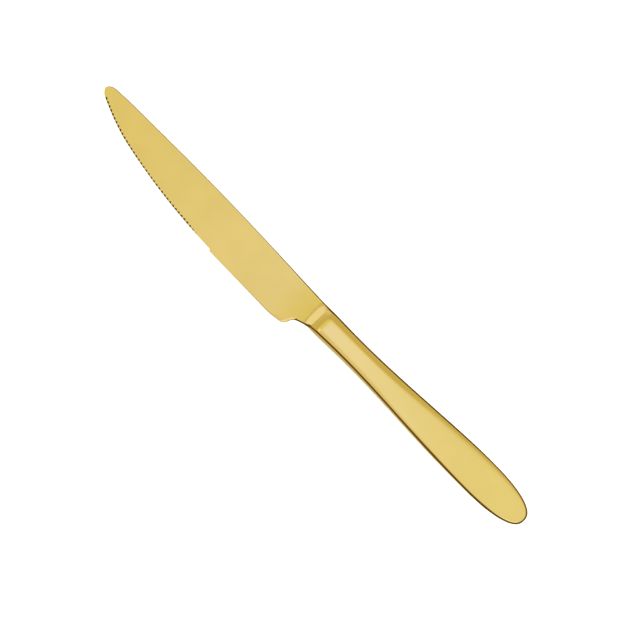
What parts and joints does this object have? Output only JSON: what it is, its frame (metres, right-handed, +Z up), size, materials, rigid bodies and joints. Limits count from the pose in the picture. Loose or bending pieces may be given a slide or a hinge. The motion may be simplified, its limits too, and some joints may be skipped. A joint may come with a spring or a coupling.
{
  "type": "dessert knife",
  "caption": "Slim dessert knife of gold-coloured polished steel: round-tipped serrated blade, short bolster and a tapering hollow handle with a rounded butt.",
  "frame": {"origin": "on the surface that the knife lies on, under the middle of its bounding box", "axes": "+X along the knife from tip to butt, +Y from the cutting edge towards the spine, +Z up out of the face that shows"},
  "size_m": [0.2082, 0.018, 0.0056],
  "materials": {
    "gold_blade": "satin",
    "gold_handle": "polished",
    "grey_cement": "matte"
  },
  "bodies": {
    "root": {"blade": "gold_blade", "handle_upper_shell": "gold_handle", "handle_lower_shell": "gold_handle", "tang_cement": "grey_cement"}
  },
  "joints": []
}
